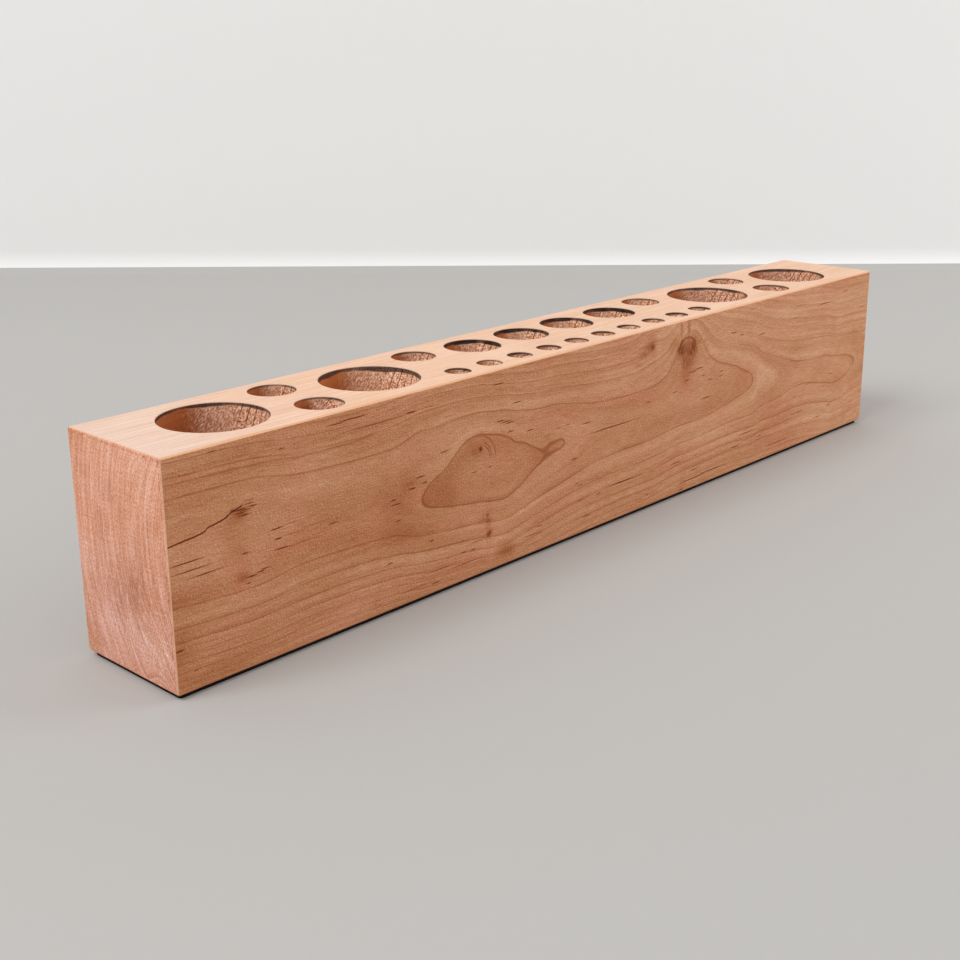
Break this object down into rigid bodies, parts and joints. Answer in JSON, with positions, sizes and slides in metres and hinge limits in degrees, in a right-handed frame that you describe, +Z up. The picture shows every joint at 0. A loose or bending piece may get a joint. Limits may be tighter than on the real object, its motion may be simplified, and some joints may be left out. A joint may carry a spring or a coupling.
{
  "type": "tool storage caddy",
  "caption": "Free-standing rectangular hardwood block with rows of blind round sockets in its top that hold hobby tools upright, on a thin black non-slip pad.",
  "frame": {"origin": "middle of the pad's underside, on the surface that the caddy stands on", "axes": "+X along the length, -Y out of the front face, where the row of fine sockets is, and +Z up"},
  "size_m": [0.472, 0.0572, 0.0889],
  "materials": {
    "timber": "sanded, bare or thinly oiled",
    "pad": "matte"
  },
  "bodies": {
    "root": {"timber_block": "timber", "base_pad": "pad"}
  },
  "joints": []
}
